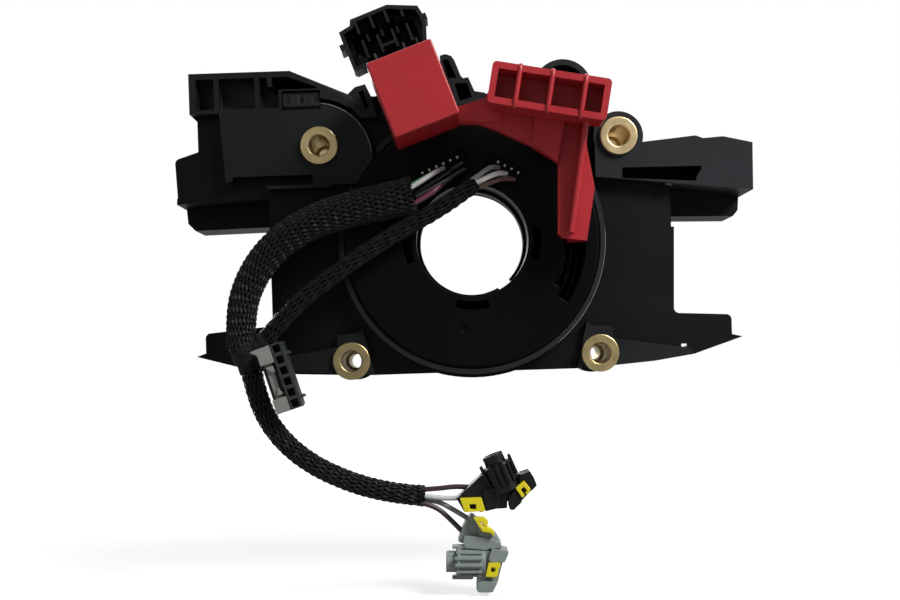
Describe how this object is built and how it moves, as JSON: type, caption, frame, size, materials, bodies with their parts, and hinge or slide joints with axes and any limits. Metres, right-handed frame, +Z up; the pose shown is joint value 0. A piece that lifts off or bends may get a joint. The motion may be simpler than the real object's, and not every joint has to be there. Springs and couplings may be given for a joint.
{
  "type": "steering clock spring",
  "caption": "Steering column clock spring: notched switch bracket with threaded inserts, round rotor, braided airbag harness with connectors, and a pull-off transport lock.",
  "frame": {"origin": "on the steering axis, in the back plane that bolts to the column", "axes": "+X to the right and +Z up as the driver sees it, +Y along the steering axis towards the column"},
  "size_m": [0.1945, 0.0628, 0.195],
  "materials": {
    "bracket_black": "fine moulded grain",
    "insert_brass": "turned",
    "cover_black": "smooth moulded",
    "slip_film": "smooth film",
    "ribbon_film": "laminated flat cable",
    "shroud_black": "smooth moulded",
    "terminal_tin": "tin plated",
    "clip_black": "smooth moulded",
    "rotor_black": "smooth moulded",
    "hub_black": "smooth moulded",
    "wire_mixed": "extruded insulation in several colours",
    "wire_light": "extruded insulation in several colours",
    "braid_black": "braided monofilament",
    "tape_black": "cloth tape",
    "six_way_grey": "smooth moulded",
    "latch_grey": "smooth moulded",
    "squib_black": "smooth moulded",
    "squib_grey": "smooth moulded",
    "squib_yellow": "smooth moulded",
    "lock_red": "smooth moulded"
  },
  "bodies": {
    "bracket": {"bracket_housing": "bracket_black", "insert_upper_left": "insert_brass", "insert_upper_right": "insert_brass", "insert_lower_left": "insert_brass", "insert_lower_right": "insert_brass", "rear_cover": "cover_black", "slip_sheet": "slip_film", "ribbon_cable": "ribbon_film", "connector_shroud": "shroud_black", "shroud_terminals": "terminal_tin", "tray_clip": "clip_black"},
    "rotor": {"rotor_disc": "rotor_black", "rotor_hub": "hub_black", "terminals_left": "terminal_tin", "terminals_right": "terminal_tin", "wires_left": "wire_mixed", "wires_right": "wire_light", "wide_sleeve": "braid_black", "thin_sleeve": "braid_black", "lower_sleeve": "braid_black", "junction_wrap": "tape_black", "six_way_housing": "six_way_grey", "six_way_latch": "latch_grey", "wires_to_black": "wire_mixed", "wires_to_grey": "wire_mixed", "black_squib_body": "squib_black", "black_squib_retainer": "squib_yellow", "grey_squib_body": "squib_grey", "grey_squib_retainer": "squib_yellow"},
    "lock": {"transport_lock": "lock_red"},
    "black_pull": {"black_squib_lock": "squib_yellow"},
    "grey_pull": {"grey_squib_lock": "squib_yellow"}
  },
  "joints": [
    {"name": "rotor_turn", "type": "hinge", "parent": "bracket", "child": "rotor", "pos_m": [0, 0, 0], "axis": [0, -1, 0], "range_deg": [-900, 900]},
    {"name": "lock_pull", "type": "slide", "parent": "rotor", "child": "lock", "axis": [0, -1, 0], "range_m": [0, 0.04]},
    {"name": "black_plug_release", "type": "slide", "parent": "rotor", "child": "black_pull", "axis": [0, -1, 0], "range_m": [0, 0.002]},
    {"name": "grey_plug_release", "type": "slide", "parent": "rotor", "child": "grey_pull", "axis": [0, -1, 0], "range_m": [0, 0.002]}
  ]
}
